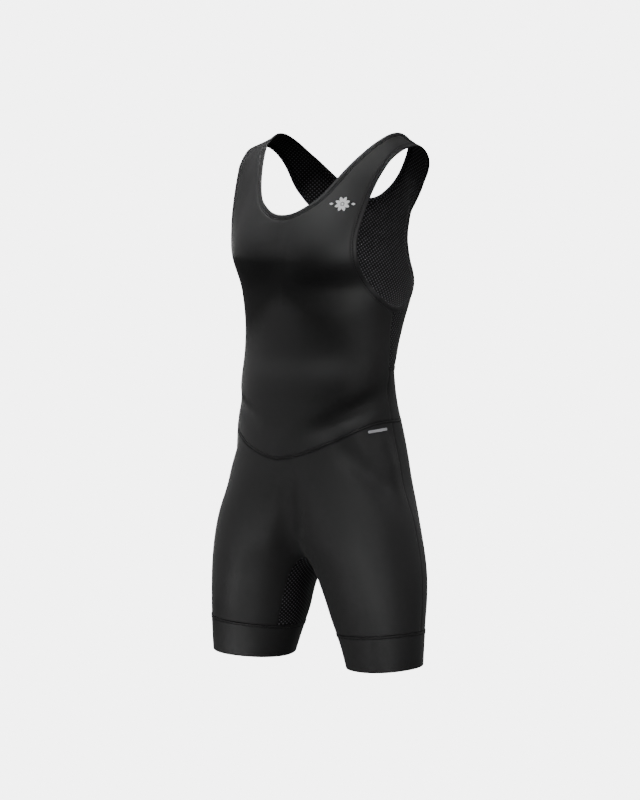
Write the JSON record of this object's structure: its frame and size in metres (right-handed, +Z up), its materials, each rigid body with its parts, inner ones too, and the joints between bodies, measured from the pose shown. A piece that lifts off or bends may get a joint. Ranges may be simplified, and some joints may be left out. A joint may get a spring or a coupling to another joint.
{
  "type": "wrestling singlet",
  "caption": "One-piece sleeveless sports suit with scooped neck, wide straps, net upper back, V-shaped waist seam and thigh-length legs, filled out and hollow.",
  "frame": {"origin": "midway between the tops of the two shoulder straps, where a wearer holds it up", "axes": "+Z up, -Y the way the wearer faces, +X the wearer's left; the cut is symmetric about X = 0"},
  "size_m": [0.4022, 0.2424, 0.8374],
  "materials": {
    "jersey": "black warp-knit stretch jersey, satin",
    "net": "black open-hole mesh knit",
    "edging": "black stretch jersey, folded and stitched"
  },
  "bodies": {
    "root": {"front_panel": "jersey", "back_mesh_panel": "net", "back_waist_panel": "jersey", "shorts_front": "jersey", "shorts_back": "jersey", "gusset": "net", "leg_band_left": "jersey", "leg_band_right": "jersey", "neck_binding": "edging", "armhole_binding_left": "edging", "armhole_binding_right": "edging"}
  },
  "joints": []
}
